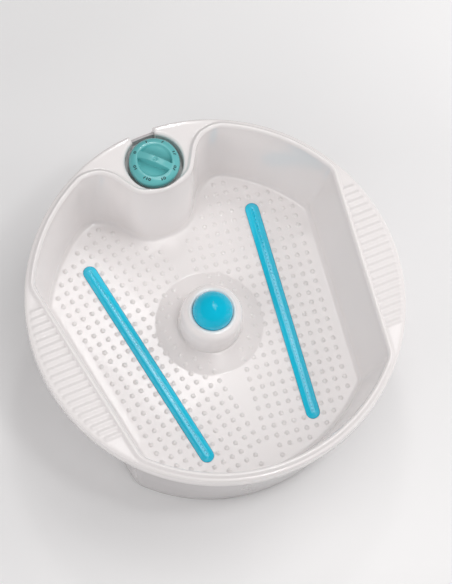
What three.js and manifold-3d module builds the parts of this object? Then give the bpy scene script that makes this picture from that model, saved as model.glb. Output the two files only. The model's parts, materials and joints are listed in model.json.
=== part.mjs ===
// A pedicure foot bath: a round tub with a basin for two feet, two bubble strips, a rolling massage
// ball and a rotary knob, standing on a lower housing that holds the air pump, the vibration motor,
// the heater and their control board.
// Millimetres, +Z up. +Y points from the heels to the toes, where the knob is. The origin is on the
// ground under the middle of the round rim.
import * as THREE from 'three';
import { mergeVertices } from 'three/addons/utils/BufferGeometryUtils.js';
import Module from 'manifold-3d';

const wasm = await Module();
wasm.setup();

// ---------------------------------------------------------------- driving dimensions
const GAP = 0.3; // running gap between pieces that meet
const WALL = 3; // moulded wall of the tub
const HOUSING_WALL = 2.5;
const TILT = THREE.MathUtils.degToRad(8.3); // how far the basin's sides and strips splay to the toes

const RIM_RADIUS = 200;
const RIM_SEGMENTS = 80;
const RIM_CHAMFER = 2;
const DECK_Z = 165;
const SKIRT_BOTTOM_Z = 146;
const BEAD_WIDTH = 7.5; // raised bead round the basin's mouth
const BEAD_HEIGHT = 3;
const FLOOR_Z = 69; // inside of the basin
const FLOOR_UNDERSIDE_Z = FLOOR_Z - WALL;

// The basin's outline at its mouth and at its floor. sideX is where the straight side crosses Y = 0.
// lobe runs from the end of the back arc, round the toe lobe, to the island in front of the knob.
const MOUTH = {
  sideX: 159,
  frontRadius: 190,
  backRadius: 190,
  frontCorner: 20,
  backCorner: 15,
  lobeStart: THREE.MathUtils.degToRad(64),
  lobe: [[63, 171.5], [50, 163], [41, 149.5], [32.5, 137.5], [19.5, 130.5], [0, 127.5]],
};
const FLOOR = {
  sideX: 143,
  frontRadius: 174,
  backRadius: 175,
  frontCorner: 16,
  backCorner: 12,
  lobeStart: THREE.MathUtils.degToRad(59),
  lobe: [[72, 155.5], [56, 150], [45, 140.5], [33, 123], [20, 113.5], [0, 110]],
};

// The lower housing under the rim, at its top and at its foot.
const HOUSING_TOP_Z = 160;
const HOUSING_BOTTOM_Z = 2;
const HOUSING_TOP = {
  sideX: 166, frontRadius: 196.2, backRadius: 196.2, frontCorner: 26, backCorner: 21,
};
const HOUSING_FOOT = {
  sideX: 151, frontRadius: 179, backRadius: 179, frontCorner: 20, backCorner: 18,
};
const FLANGE_WIDTH = 16;
const FLANGE_Z = [6.8, 9.8];

const COVER_Z = [2.5, 6.5];
const SCREW_SPOTS = [[150.5, 60], [133, -60], [44, -164], [44, 164]]; // each mirrored to -X
const FOOT_SPOTS = { front: [100, -110], rear: [112, 108] };
const FOOT_RADIUS = 12;
const FOOT_TOP_Z = 3.5;

// Massage head, as radius and height above the basin's floor.
const CONE_FOOT_RADIUS = 58.5;
const CONE_TOP_RADIUS = 36.5;
const CONE_HEIGHT = 6;
const PLATEAU_Z = FLOOR_Z + CONE_HEIGHT;
const HEAD_OUTSIDE = [
  [35.5, 6.3], [34.8, 20], [34, 35], [32.5, 41], [29.5, 44.5], [25.5, 45.5], [22.6, 44.6],
];
const HEAD_INSIDE = [[22.6, 43.2], [26, 41.5], [29.8, 38], [31.7, 33], [32.5, 20], [33.2, 6.3]];
const HEAD_SEGMENTS = 28;
const BALL_RADIUS = 21.75;
const BALL_Z = 113;
const CUP_INNER_RADIUS = 22.6;
const CUP_OUTER_RADIUS = 24.6;
const BOSS_RADIUS = 10;
const BOSS_TOP_Z = 83;

// Bubble strips, each a capsule between two cap centres, and mirrored to -X.
const STRIP_BACK = new THREE.Vector2(96.7, 102.5);
const STRIP_FRONT = new THREE.Vector2(62.3, -133.4);
const STRIP_RADIUS = 7.5;
const STRIP_TOP_Z = 72;
const STRIP_BOTTOM_Z = 68.3;
const STRIP_EDGE = 1.8;
const POCKET_RADIUS = 7.9;
const POCKET_Z = 67;
const CHANNEL_RADIUS = 5;
const SEAL_THICKNESS = 0.7;
const SPIGOT_BOTTOM_Z = 52;
const SPIGOT_RADIUS = 4;
const SPIGOT_BORE = 2.5;

// Knob and the well it sits in.
const KNOB_Y = 162.5;
const WELL_RADIUS = 31.2;
const WELL_FLOOR_Z = 151;
const NOTCH_HALF_WIDTH = { inner: 12, outer: 13.5 }; // at the knob's centre line and at the rim
const NECK_RADIUS = 5; // threaded neck of the switch, through the well's floor
const NECK_HOLE_RADIUS = 5.4;
const KNOB_FOOT_Z = 155;
const KNOB_DISH_Z = 163.5; // floor of the two scoops beside the finger bar
const KNOB_PROFILE = [
  [27, KNOB_FOOT_Z], [27.3, 162.5], [26.6, 165.5], [24.5, 168], [20.2, 169.7], [19.2, 169.4],
  [17.4, KNOB_DISH_Z],
];
const KNOB_SEGMENTS = 32;
const KNOB_BAR_WIDTH = 8;
const KNOB_BAR_ANGLE = THREE.MathUtils.degToRad(-45);
const KNOB_BAR_HALF_LENGTH = 19.6;
const KNOB_BAR_END_Z = 169.5;
const KNOB_BAR_TOP_Z = 173;
const SHAFT_RADIUS = 3;
const SHAFT_Z = [141, 166];
const SWITCH = { half: 18, bottom: 120, top: 144, neckTop: 155 };

// Works inside the lower housing.
const MOTOR = { y: -75, z: 30, radius: 18, halfLength: 24, bore: 2.4 };
const MOTOR_SHAFT = { radius: 2, halfLength: 40 };
const WEIGHT = { radius: 14, near: 27, far: 35 };
const PUMP = { low: [-108, 44, 12], high: [-28, 100, 54] };
const PUMP_AXIS_Y = 72;
const BOARD = { low: [58, 35, 16], high: [128, 90, 17.6] };
const HOSE_Z = 30;
const HOSE_RADIUS = 3.6;
const BARB_RADIUS = 3; // of the pipe stubs the hoses meet
const MANIFOLD = { low: [24, 64, 24], high: [44, 80, 36], outlets: [29, 39] };
const WIRE_RADIUS = 1.8;
const GLAND_ANGLE = THREE.MathUtils.degToRad(62);
const GLAND_Z = 24;
const GLAND_RADIUS = 6.5;
const GLAND_HOLE_RADIUS = 6.9;
const SCREW_HEAD_RADIUS = 4;
const SCREW_RADIUS = 1.8;
const PILOT_RADIUS = 2.1;
const WELL_ROOM = { low: [-37.5, 150, 145.5], high: [37.5, 205, 162] }; // housing cut away round the well

// ---------------------------------------------------------------- looks
const LOOKS = {
  white: { color: 0xefebe8, roughness: 0.22, metalness: 0 },
  cyan: { color: 0x00b4d8, roughness: 0.12, metalness: 0 },
  teal: { color: 0x5fbabe, roughness: 0.3, metalness: 0 },
  grey: { color: 0x8d9296, roughness: 0.5, metalness: 0 },
  rubber: { color: 0x2b2c2e, roughness: 0.85, metalness: 0 },
  seal: { color: 0xd7d3cc, roughness: 0.6, metalness: 0 },
  steel: { color: 0xb9bcc0, roughness: 0.35, metalness: 1 },
  brass: { color: 0xc6a04a, roughness: 0.3, metalness: 1 },
  copper: { color: 0xb06a3b, roughness: 0.4, metalness: 0.8 },
  aluminium: { color: 0xc8cacc, roughness: 0.4, metalness: 1 },
  board: { color: 0x1f6a44, roughness: 0.5, metalness: 0 },
  hose: { color: 0xdfe3e0, roughness: 0.35, metalness: 0 },
  wire: { color: 0x3a3d42, roughness: 0.5, metalness: 0 },
};

const footBath = new THREE.Group();

function addPiece(name, geometry, look) {
  const mesh = new THREE.Mesh(geometry, new THREE.MeshStandardMaterial(LOOKS[look]));
  mesh.name = name;
  footBath.add(mesh);
  return mesh;
}

// ---------------------------------------------------------------- joining and cutting
function toSolid(geometry) {
  const bare = geometry.clone();
  bare.deleteAttribute('normal');
  bare.deleteAttribute('uv');
  const merged = mergeVertices(bare);
  const corners = [];
  for (let i = 0; i < merged.index.count; i += 3) {
    const [a, b, c] = [0, 1, 2].map((k) => merged.index.getX(i + k));
    if (a !== b && b !== c && c !== a) corners.push(a, b, c);
  }
  return new wasm.Manifold(new wasm.Mesh({
    numProp: 3,
    vertProperties: new Float32Array(merged.attributes.position.array),
    triVerts: new Uint32Array(corners),
  }));
}

function toGeometry(solid) {
  const mesh = solid.getMesh();
  const geometry = new THREE.BufferGeometry();
  geometry.setAttribute('position', new THREE.BufferAttribute(mesh.vertProperties, 3));
  geometry.setIndex(new THREE.BufferAttribute(mesh.triVerts, 1));
  return geometry;
}

function join(...geometries) {
  return geometries.map(toSolid).reduce((whole, next) => whole.add(next));
}

function cut(geometries, cutters) {
  return toGeometry(cutters.map(toSolid).reduce((whole, next) => whole.subtract(next), join(...geometries)));
}

// ---------------------------------------------------------------- shapes
function block(low, high) {
  const size = high.map((value, axis) => value - low[axis]);
  const middle = high.map((value, axis) => (value + low[axis]) / 2);
  return new THREE.BoxGeometry(...size).translate(...middle);
}

function post(radius, [low, high], [x, y] = [0, 0], segments = 24) {
  const cylinder = new THREE.CylinderGeometry(radius, radius, high - low, segments);
  return cylinder.rotateX(Math.PI / 2).translate(x, y, (low + high) / 2);
}

// A cylinder along X.
function rod(radius, [low, high], [y, z], segments = 24) {
  const cylinder = new THREE.CylinderGeometry(radius, radius, high - low, segments);
  return cylinder.rotateZ(Math.PI / 2).translate((low + high) / 2, y, z);
}

// A turned solid about a vertical axis. The profile is [radius, height] pairs, outside going up.
function turned(profile, [x, y] = [0, 0], segments = HEAD_SEGMENTS) {
  const points = profile.map(([radius, height]) => new THREE.Vector2(radius, height));
  return new THREE.LatheGeometry(points, segments).rotateX(Math.PI / 2).translate(x, y, 0);
}

function closedProfile(profile) {
  return [...profile, profile[0]];
}

function tube(route, radius, bore, steps) {
  const section = new THREE.Shape(circlePoints(radius, 8));
  if (bore > 0) section.holes.push(new THREE.Path(circlePoints(bore, 6).reverse()));
  const extrudePath = new THREE.CatmullRomCurve3(route.map((point) => new THREE.Vector3(...point)));
  return new THREE.ExtrudeGeometry(section, { steps, extrudePath });
}

function circlePoints(radius, count) {
  return Array.from({ length: count }, (_, i) => {
    const angle = (i / count) * 2 * Math.PI;
    return new THREE.Vector2(radius * Math.cos(angle), radius * Math.sin(angle));
  });
}

// A solid skinned over outlines of equal point counts, given as [z, points] from the bottom up.
function loft(levels) {
  const count = levels[0][1].length;
  const positions = levels.flatMap(([z, points]) => points.flatMap((point) => [point.x, point.y, z]));
  const corners = [];
  for (let level = 0; level < levels.length - 1; level += 1) {
    for (let i = 0; i < count; i += 1) {
      const a = level * count + i;
      const b = level * count + ((i + 1) % count);
      corners.push(a, b, b + count, a, b + count, a + count);
    }
  }
  const lid = (levels.length - 1) * count;
  for (const [a, b, c] of THREE.ShapeUtils.triangulateShape(levels[0][1], [])) corners.push(c, b, a);
  for (const [a, b, c] of THREE.ShapeUtils.triangulateShape(levels.at(-1)[1], [])) {
    corners.push(lid + a, lid + b, lid + c);
  }
  const geometry = new THREE.BufferGeometry();
  geometry.setAttribute('position', new THREE.Float32BufferAttribute(positions, 3));
  geometry.setIndex(corners);
  return geometry;
}

function prism(points, [low, high]) {
  return loft([[low, points], [high, points]]);
}

// ---------------------------------------------------------------- outlines seen from above
function arc(x, y, radius, from, to) {
  return new THREE.EllipseCurve(x, y, radius, radius, from, to, false, 0);
}

// Centre of the round corner between the straight side and the arc of the given radius.
function cornerCentre({ sideX }, arcRadius, cornerRadius, end) {
  const fromSide = sideX * Math.cos(TILT) - cornerRadius;
  const along = end * Math.sqrt((arcRadius - cornerRadius) ** 2 - fromSide ** 2);
  return new THREE.Vector2(
    fromSide * Math.cos(TILT) + along * Math.sin(TILT),
    -fromSide * Math.sin(TILT) + along * Math.cos(TILT),
  );
}

// The +X half of an outline: front arc, corner, straight side, corner, back arc up to backEnd.
function halfOutline(level, backEnd) {
  const front = cornerCentre(level, level.frontRadius, level.frontCorner, -1);
  const back = cornerCentre(level, level.backRadius, level.backCorner, 1);
  return [
    [arc(0, 0, level.frontRadius, -Math.PI / 2, front.angle() - 2 * Math.PI), 9],
    [arc(front.x, front.y, level.frontCorner, front.angle() - 2 * Math.PI, -TILT), 5],
    [arc(back.x, back.y, level.backCorner, -TILT, back.angle()), 4],
    [arc(0, 0, level.backRadius, back.angle(), backEnd), 6],
  ];
}

function wholeOutline(pieces) {
  const half = [];
  for (const [curve, steps] of pieces) {
    for (const point of curve.getPoints(steps)) {
      if (half.length === 0 || point.distanceTo(half.at(-1)) > 0.01) half.push(point);
    }
  }
  const mirrored = half.slice(1, -1).reverse().map((point) => new THREE.Vector2(-point.x, point.y));
  return [...half, ...mirrored];
}

function basinOutline(level) {
  const start = new THREE.Vector2(level.backRadius, 0).rotateAround(new THREE.Vector2(), level.lobeStart);
  const lobe = [start, ...level.lobe.map(([x, y]) => new THREE.Vector2(x, y))];
  return wholeOutline([...halfOutline(level, level.lobeStart), [new THREE.SplineCurve(lobe), 14]]);
}

function housingOutline(level) {
  return wholeOutline(halfOutline(level, Math.PI / 2));
}

// The outline moved outwards by a distance, or inwards by a negative one.
function offset(points, distance) {
  return points.map((point, i) => {
    const next = points[(i + 1) % points.length];
    const before = point.clone().sub(points.at(i - 1)).normalize();
    const after = next.clone().sub(point).normalize();
    const normal = new THREE.Vector2(before.y + after.y, -before.x - after.x).normalize();
    const stretch = normal.x * before.y - normal.y * before.x;
    return point.clone().addScaledVector(normal, distance / stretch);
  });
}

const mouth = basinOutline(MOUTH);
const floor = basinOutline(FLOOR);
const housingTop = housingOutline(HOUSING_TOP);
const housingFoot = housingOutline(HOUSING_FOOT);

// ---------------------------------------------------------------- tub
function rimPlate() {
  return turned([
    [0, DECK_Z - WALL],
    [RIM_RADIUS - WALL, DECK_Z - WALL],
    [RIM_RADIUS - WALL, SKIRT_BOTTOM_Z],
    [RIM_RADIUS, SKIRT_BOTTOM_Z],
    [RIM_RADIUS, DECK_Z - RIM_CHAMFER],
    [RIM_RADIUS - RIM_CHAMFER, DECK_Z],
    [0, DECK_Z],
  ], [0, 0], RIM_SEGMENTS);
}

function basinBead() {
  return loft([
    [DECK_Z - 1, offset(mouth, BEAD_WIDTH)],
    [DECK_Z, offset(mouth, BEAD_WIDTH)],
    [DECK_Z + BEAD_HEIGHT, offset(mouth, BEAD_WIDTH / 2 + 0.5)],
  ]);
}

function basinCavity() {
  const rise = BEAD_HEIGHT + 1;
  return loft([
    [FLOOR_Z, floor],
    [DECK_Z, mouth],
    [DECK_Z + rise, offset(mouth, (BEAD_WIDTH / 2) * (rise / BEAD_HEIGHT))],
  ]);
}

// The opening from the knob's well out through the rim, widened by grow and ending at endY.
function notch(grow, endY, levels) {
  const { inner, outer } = NOTCH_HALF_WIDTH;
  const start = inner + grow;
  const end = start + ((outer - inner) * (endY - KNOB_Y)) / (RIM_RADIUS - KNOB_Y);
  const points = [[-start, KNOB_Y], [start, KNOB_Y], [end, endY], [-end, endY]];
  return prism(points.map(([x, y]) => new THREE.Vector2(x, y)), levels);
}

const stripMiddle = STRIP_BACK.clone().add(STRIP_FRONT).multiplyScalar(0.5);

function placeOnStrip(geometry, side) {
  return geometry.rotateZ(-side * TILT).translate(side * stripMiddle.x, stripMiddle.y, 0);
}

function capsulePoints(radius) {
  const half = STRIP_BACK.distanceTo(STRIP_FRONT) / 2;
  const far = arc(0, half, radius, 0, Math.PI).getPoints(8);
  const near = arc(0, -half, radius, Math.PI, 2 * Math.PI).getPoints(8);
  return [...far, ...near];
}

function capsule(radius, levels, side) {
  return placeOnStrip(prism(capsulePoints(radius), levels), side);
}

function stripSpigot(side, radius, levels) {
  return post(radius, levels, [side * stripMiddle.x, stripMiddle.y], 16);
}

function makeTub() {
  const moulding = [
    rimPlate(),
    loft([[FLOOR_UNDERSIDE_Z, offset(floor, WALL)], [DECK_Z - 0.5, offset(mouth, WALL)]]),
    basinBead(),
    post(WELL_RADIUS + WALL, [WELL_FLOOR_Z - WALL, DECK_Z - 1], [0, KNOB_Y], KNOB_SEGMENTS),
    notch(WALL, RIM_RADIUS - 2, [WELL_FLOOR_Z - WALL, DECK_Z - 1]),
  ];
  const cone = turned([
    [0, FLOOR_Z - 1], [CONE_FOOT_RADIUS, FLOOR_Z - 1], [CONE_FOOT_RADIUS, FLOOR_Z],
    [CONE_TOP_RADIUS, PLATEAU_Z], [BOSS_RADIUS, PLATEAU_Z], [BOSS_RADIUS, BOSS_TOP_Z], [0, BOSS_TOP_Z],
  ]);
  const underCone = turned([
    [0, FLOOR_UNDERSIDE_Z - 1], [CONE_FOOT_RADIUS - WALL, FLOOR_UNDERSIDE_Z - 1],
    [CONE_FOOT_RADIUS - WALL, FLOOR_UNDERSIDE_Z], [CONE_TOP_RADIUS - WALL, PLATEAU_Z - WALL],
    [BOSS_RADIUS - WALL, PLATEAU_Z - WALL], [BOSS_RADIUS - WALL, BOSS_TOP_Z - WALL], [0, BOSS_TOP_Z - WALL],
  ]);
  const open = join(...moulding)
    .subtract(toSolid(basinCavity()))
    .subtract(toSolid(post(WELL_RADIUS, [WELL_FLOOR_Z, DECK_Z + 6], [0, KNOB_Y], KNOB_SEGMENTS)))
    .subtract(toSolid(notch(0, RIM_RADIUS + 5, [WELL_FLOOR_Z, DECK_Z + 5])))
    .subtract(toSolid(post(NECK_HOLE_RADIUS, [WELL_FLOOR_Z - 5, WELL_FLOOR_Z + 1], [0, KNOB_Y])))
    .add(toSolid(cone))
    .subtract(toSolid(underCone));
  let tub = open;
  for (const side of [-1, 1]) {
    tub = tub
      .subtract(toSolid(capsule(POCKET_RADIUS, [POCKET_Z, FLOOR_Z + 1], side)))
      .add(toSolid(stripSpigot(side, SPIGOT_RADIUS, [SPIGOT_BOTTOM_Z, FLOOR_UNDERSIDE_Z + 0.5])))
      .subtract(toSolid(stripSpigot(side, SPIGOT_BORE, [SPIGOT_BOTTOM_Z - 1, FLOOR_Z])));
  }
  addPiece('tub', toGeometry(tub), 'white');
}

// ---------------------------------------------------------------- massage head
function makeMassageHead() {
  const lift = ([radius, height]) => [radius, height + FLOOR_Z];
  addPiece('massage_head', turned(closedProfile([...HEAD_OUTSIDE, ...HEAD_INSIDE].map(lift))), 'white');

  const seat = [];
  for (let step = 0; step <= 5; step += 1) {
    const angle = -Math.PI / 2 + (step / 5) * THREE.MathUtils.degToRad(78);
    seat.push([CUP_INNER_RADIUS * Math.cos(angle), BALL_Z + CUP_INNER_RADIUS * Math.sin(angle)]);
  }
  seat[0][0] = 0;
  const rimZ = seat.at(-1)[1];
  const cup = [
    [0, BOSS_TOP_Z + GAP], [BOSS_RADIUS + GAP, BOSS_TOP_Z + GAP], [BOSS_RADIUS + GAP, PLATEAU_Z + GAP],
    [BOSS_RADIUS + WALL, PLATEAU_Z + GAP], [16, BOSS_TOP_Z + 5], [CUP_OUTER_RADIUS, BALL_Z - 13],
    [CUP_OUTER_RADIUS, rimZ],
    ...seat.reverse(),
  ];
  addPiece('ball_cup', turned(cup), 'white');

  const ball = new THREE.SphereGeometry(BALL_RADIUS, 24, 12).rotateX(Math.PI / 2).translate(0, 0, BALL_Z);
  addPiece('massage_ball', ball, 'cyan');

  const sealZ = [PLATEAU_Z + GAP, PLATEAU_Z + GAP + 1.4];
  const seal = turned(closedProfile([
    [14, sealZ[0]], [15.6, sealZ[0]], [15.6, sealZ[1]], [14, sealZ[1]],
  ]), [0, 0], 24);
  addPiece('head_seal', seal, 'rubber');
}

// ---------------------------------------------------------------- bubble strips
function makeStrip(side, name) {
  const body = placeOnStrip(loft([
    [STRIP_BOTTOM_Z, capsulePoints(STRIP_RADIUS)],
    [STRIP_TOP_Z - STRIP_EDGE, capsulePoints(STRIP_RADIUS)],
    [STRIP_TOP_Z - STRIP_EDGE / 3, capsulePoints(STRIP_RADIUS - STRIP_EDGE / 2)],
    [STRIP_TOP_Z, capsulePoints(STRIP_RADIUS - STRIP_EDGE - 1.2)],
  ]), side);
  const channel = capsule(CHANNEL_RADIUS, [STRIP_BOTTOM_Z - 1, STRIP_TOP_Z - 1.6], side);
  addPiece(`bubble_strip_${name}`, cut([body], [channel]), 'cyan');

  const sealZ = [POCKET_Z + GAP, POCKET_Z + GAP + SEAL_THICKNESS];
  const seal = cut(
    [capsule(STRIP_RADIUS, sealZ, side)],
    [capsule(CHANNEL_RADIUS, [sealZ[0] - 1, sealZ[1] + 1], side)],
  );
  addPiece(`strip_seal_${name}`, seal, 'seal');
}

// ---------------------------------------------------------------- knob and switch
function knobBar() {
  const rise = KNOB_BAR_TOP_Z - KNOB_BAR_END_Z;
  const radius = (KNOB_BAR_HALF_LENGTH ** 2 + rise ** 2) / (2 * rise);
  const half = Math.asin(KNOB_BAR_HALF_LENGTH / radius);
  const crown = arc(0, KNOB_BAR_TOP_Z - radius, radius, Math.PI / 2 - half, Math.PI / 2 + half);
  const side = new THREE.Shape([
    ...crown.getPoints(10),
    new THREE.Vector2(-16, KNOB_DISH_Z - 1),
    new THREE.Vector2(16, KNOB_DISH_Z - 1),
  ]);
  const bar = new THREE.ExtrudeGeometry(side, { depth: KNOB_BAR_WIDTH, bevelEnabled: false });
  return bar.translate(0, 0, -KNOB_BAR_WIDTH / 2).rotateX(Math.PI / 2).rotateZ(KNOB_BAR_ANGLE);
}

function makeKnob() {
  const body = turned([[0, KNOB_FOOT_Z], ...KNOB_PROFILE, [0, KNOB_DISH_Z]], [0, 0], KNOB_SEGMENTS);
  const below = KNOB_FOOT_Z - 1;
  const underside = turned([
    [8, below], [24.4, below], [24.4, 159], [22, 160.6], [8, 160.6], [8, below],
  ], [0, 0], KNOB_SEGMENTS);
  const socket = post(SHAFT_RADIUS + GAP, [below, SHAFT_Z[1] + GAP]);
  const knob = cut([body, knobBar()], [underside, socket]);
  addPiece('control_knob', knob, 'teal').position.y = KNOB_Y;

  addPiece('switch_shaft', post(SHAFT_RADIUS, SHAFT_Z), 'brass').position.y = KNOB_Y;

  const { half, bottom, top, neckTop } = SWITCH;
  const box = block([-half, -half, bottom], [half, half, top]);
  const neck = post(NECK_RADIUS, [top - 1, neckTop]);
  const terminals = [-10, 0, 10].map((x) => block([x - 1.5, -4, bottom - 7], [x + 1.5, 4, bottom + 1]));
  const shaftBore = post(SHAFT_RADIUS + 0.4, [SHAFT_Z[0] - 1, neckTop + 1]);
  addPiece('rotary_switch', cut([box, neck, ...terminals], [shaftBore]), 'grey').position.y = KNOB_Y;

  const sealZ = [WELL_FLOOR_Z + 0.2, WELL_FLOOR_Z + 1.2];
  const nutZ = [sealZ[1] + GAP, neckTop - 0.4];
  const nut = cut([post(8, nutZ, [0, 0], 6)], [post(NECK_HOLE_RADIUS, [nutZ[0] - 1, nutZ[1] + 1])]);
  addPiece('switch_nut', nut, 'brass').position.y = KNOB_Y;

  const seal = turned(closedProfile([
    [NECK_HOLE_RADIUS, sealZ[0]], [10, sealZ[0]], [10, sealZ[1]], [NECK_HOLE_RADIUS, sealZ[1]],
  ]), [0, 0], 24);
  addPiece('switch_seal', seal, 'rubber').position.y = KNOB_Y;
}

// ---------------------------------------------------------------- lower housing and cover
const screwSpots = SCREW_SPOTS.flatMap(([x, y]) => [[-x, y], [x, y]]);
const feet = Object.entries(FOOT_SPOTS).flatMap(([end, [x, y]]) => [
  [`foot_${end}_left`, [-x, y]],
  [`foot_${end}_right`, [x, y]],
]);

function turnToGland(geometry) {
  return geometry.rotateZ(GLAND_ANGLE);
}

function makeHousing() {
  const outside = loft([[HOUSING_BOTTOM_Z, housingFoot], [HOUSING_TOP_Z, housingTop]]);
  const inside = loft([
    [HOUSING_BOTTOM_Z - 1, offset(housingFoot, -HOUSING_WALL)],
    [HOUSING_TOP_Z + 1, offset(housingTop, -HOUSING_WALL)],
  ]);
  const flange = cut(
    [prism(offset(housingFoot, -1), FLANGE_Z)],
    [prism(offset(housingFoot, -FLANGE_WIDTH), [FLANGE_Z[0] - 1, FLANGE_Z[1] + 1])],
  );
  const wellRoom = block(WELL_ROOM.low, WELL_ROOM.high);
  const glandHole = turnToGland(rod(GLAND_HOLE_RADIUS, [165, 195], [0, GLAND_Z]));
  const pilots = screwSpots.map((spot) => post(PILOT_RADIUS, [FLANGE_Z[0] - 1, FLANGE_Z[1] + 1], spot, 8));
  const wall = cut([outside], [inside]);
  addPiece('lower_housing', cut([wall, flange], [wellRoom, glandHole, ...pilots]), 'white');

  const ring = cut(
    [prism(offset(housingTop, -GAP), [HOUSING_TOP_Z + GAP, DECK_Z - WALL - GAP])],
    [prism(offset(housingTop, -HOUSING_WALL), [HOUSING_TOP_Z, DECK_Z]), wellRoom],
  );
  addPiece('rim_gasket', ring, 'rubber');
}

function makeCover() {
  const plate = prism(offset(housingFoot, -HOUSING_WALL - 0.5), COVER_Z);
  const standoffSpots = [[62, 40], [124, 40], [62, 86], [118, 86]];
  const standoffs = standoffSpots.map((spot) => post(3, [COVER_Z[1] - 1, BOARD.low[2] - GAP], spot, 10));
  const counterbores = screwSpots.flatMap((spot) => [
    post(SCREW_HEAD_RADIUS + GAP, [COVER_Z[0] - 1, 4.8], spot, 12),
    post(PILOT_RADIUS, [COVER_Z[0] - 1, COVER_Z[1] + 1], spot, 8),
  ]);
  const recessZ = [COVER_Z[0] - 1, FOOT_TOP_Z + GAP];
  const recesses = feet.map(([, spot]) => post(FOOT_RADIUS + 2 * GAP, recessZ, spot, 20));
  addPiece('bottom_cover', cut([plate, ...standoffs], [...counterbores, ...recesses]), 'grey');

  for (const [name, [x, y]] of feet) {
    const pad = turned([
      [0, 0], [FOOT_RADIUS - 1.5, 0], [FOOT_RADIUS, 1.2], [FOOT_RADIUS, FOOT_TOP_Z], [0, FOOT_TOP_Z],
    ], [x, y], 20);
    addPiece(name, pad, 'rubber');
  }
  screwSpots.forEach((spot, i) => {
    const screw = turned([
      [0, 2.7], [SCREW_HEAD_RADIUS, 2.7], [SCREW_HEAD_RADIUS, 4.5], [SCREW_RADIUS, 4.5],
      [SCREW_RADIUS, 15], [0, 16],
    ], spot, 8);
    addPiece(`cover_screw_${i + 1}`, screw, 'steel');
  });
}

function makeGland() {
  const axis = [0, GLAND_Z];
  const throat = rod(GLAND_RADIUS, [172, 184], axis);
  const collar = rod(9.5, [183.2, 186], axis);
  const nose = rod(7, [185, 189], axis);
  const bore = rod(3.4, [170, 191], axis, 16);
  addPiece('cord_gland', turnToGland(cut([throat, collar, nose], [bore])), 'rubber');
  const nut = cut([rod(10, [172.5, 176], axis, 6)], [rod(GLAND_HOLE_RADIUS, [170, 180], axis)]);
  addPiece('gland_nut', turnToGland(nut), 'grey');
}

// ---------------------------------------------------------------- vibration motor
function makeMotor() {
  const axis = [MOTOR.y, MOTOR.z];
  const reach = [-MOTOR.halfLength, MOTOR.halfLength];
  const can = cut([rod(MOTOR.radius, reach, axis, 32)], [rod(MOTOR.bore, [-30, 30], axis, 16)]);
  addPiece('vibration_motor', can, 'steel');

  const base = block([-18, MOTOR.y - 26, COVER_Z[1] + GAP], [18, MOTOR.y + 26, 10]);
  const saddle = block([-14, MOTOR.y - 20, 9], [14, MOTOR.y + 20, 24]);
  const seat = rod(MOTOR.radius + GAP, [-20, 20], axis, 32);
  addPiece('motor_cradle', cut([base, saddle], [seat]), 'grey');

  const shaftReach = [-MOTOR_SHAFT.halfLength, MOTOR_SHAFT.halfLength];
  addPiece('motor_shaft', rod(MOTOR_SHAFT.radius, shaftReach, axis, 16), 'steel');

  for (const [side, name] of [[-1, 'left'], [1, 'right']]) {
    const span = [WEIGHT.near * side, WEIGHT.far * side].sort((a, b) => a - b);
    const upperHalf = block([-60, MOTOR.y - 20, MOTOR.z + 4], [60, MOTOR.y + 20, MOTOR.z + 20]);
    const hole = rod(MOTOR_SHAFT.radius + GAP, [-60, 60], axis, 16);
    addPiece(`eccentric_weight_${name}`, cut([rod(WEIGHT.radius, span, axis)], [upperHalf, hole]), 'brass');
  }
}

// ---------------------------------------------------------------- air pump and hoses
function makePump() {
  const [low, high] = [PUMP.low, PUMP.high];
  const outlet = [PUMP_AXIS_Y, HOSE_Z];
  addPiece('pump_base', block(low, [high[0], high[1], low[2] + 2.5]), 'grey');
  const shell = block([low[0], low[1], low[2] + 2.8], high);
  const room = block([low[0] + 2, low[1] + 2, low[2]], [high[0] - 2, high[1] - 2, high[2] - 2]);
  const outletHole = rod(3.8, [high[0] - 6, high[0] + 2], outlet, 16);
  addPiece('pump_case', cut([shell], [room, outletHole]), 'grey');

  const winding = block([-102, 60, 15], [-84, 84, 37]);
  const pole = block([-84.5, 64, 19], [-78, 80, 33]);
  addPiece('pump_coil', toGeometry(join(winding, pole)), 'copper');

  const blade = block([-72, 50, 20], [-69, 90, 34]);
  const magnet = block([-75, 65, 21], [-71.5, 79, 33]);
  addPiece('pump_arm', toGeometry(join(blade, magnet)), 'steel');

  const diaphragm = new THREE.CylinderGeometry(11, 8, 12, 24).rotateZ(Math.PI / 2);
  addPiece('pump_diaphragm', diaphragm.translate(-59.5, PUMP_AXIS_Y, 27), 'rubber');

  const chamber = block([-53, 58, 15], [-36, 86, 42]);
  const outletPipe = rod(BARB_RADIUS, [-37, high[0] + 8], outlet, 16);
  const outletBore = rod(1.6, [-45, high[0] + 9], outlet, 8);
  addPiece('pump_head', cut([chamber, outletPipe], [outletBore]), 'grey');

  const [nearX, farX] = [low[0] + 8, high[0] - 8];
  const [nearY, farY] = [low[1] + 8, high[1] - 8];
  const mountSpots = {
    front_left: [nearX, nearY],
    front_right: [farX, nearY],
    rear_left: [nearX, farY],
    rear_right: [farX, farY],
  };
  for (const [name, spot] of Object.entries(mountSpots)) {
    addPiece(`pump_mount_${name}`, post(5, [COVER_Z[1] + GAP, low[2] - GAP], spot, 16), 'rubber');
  }
}

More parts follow.
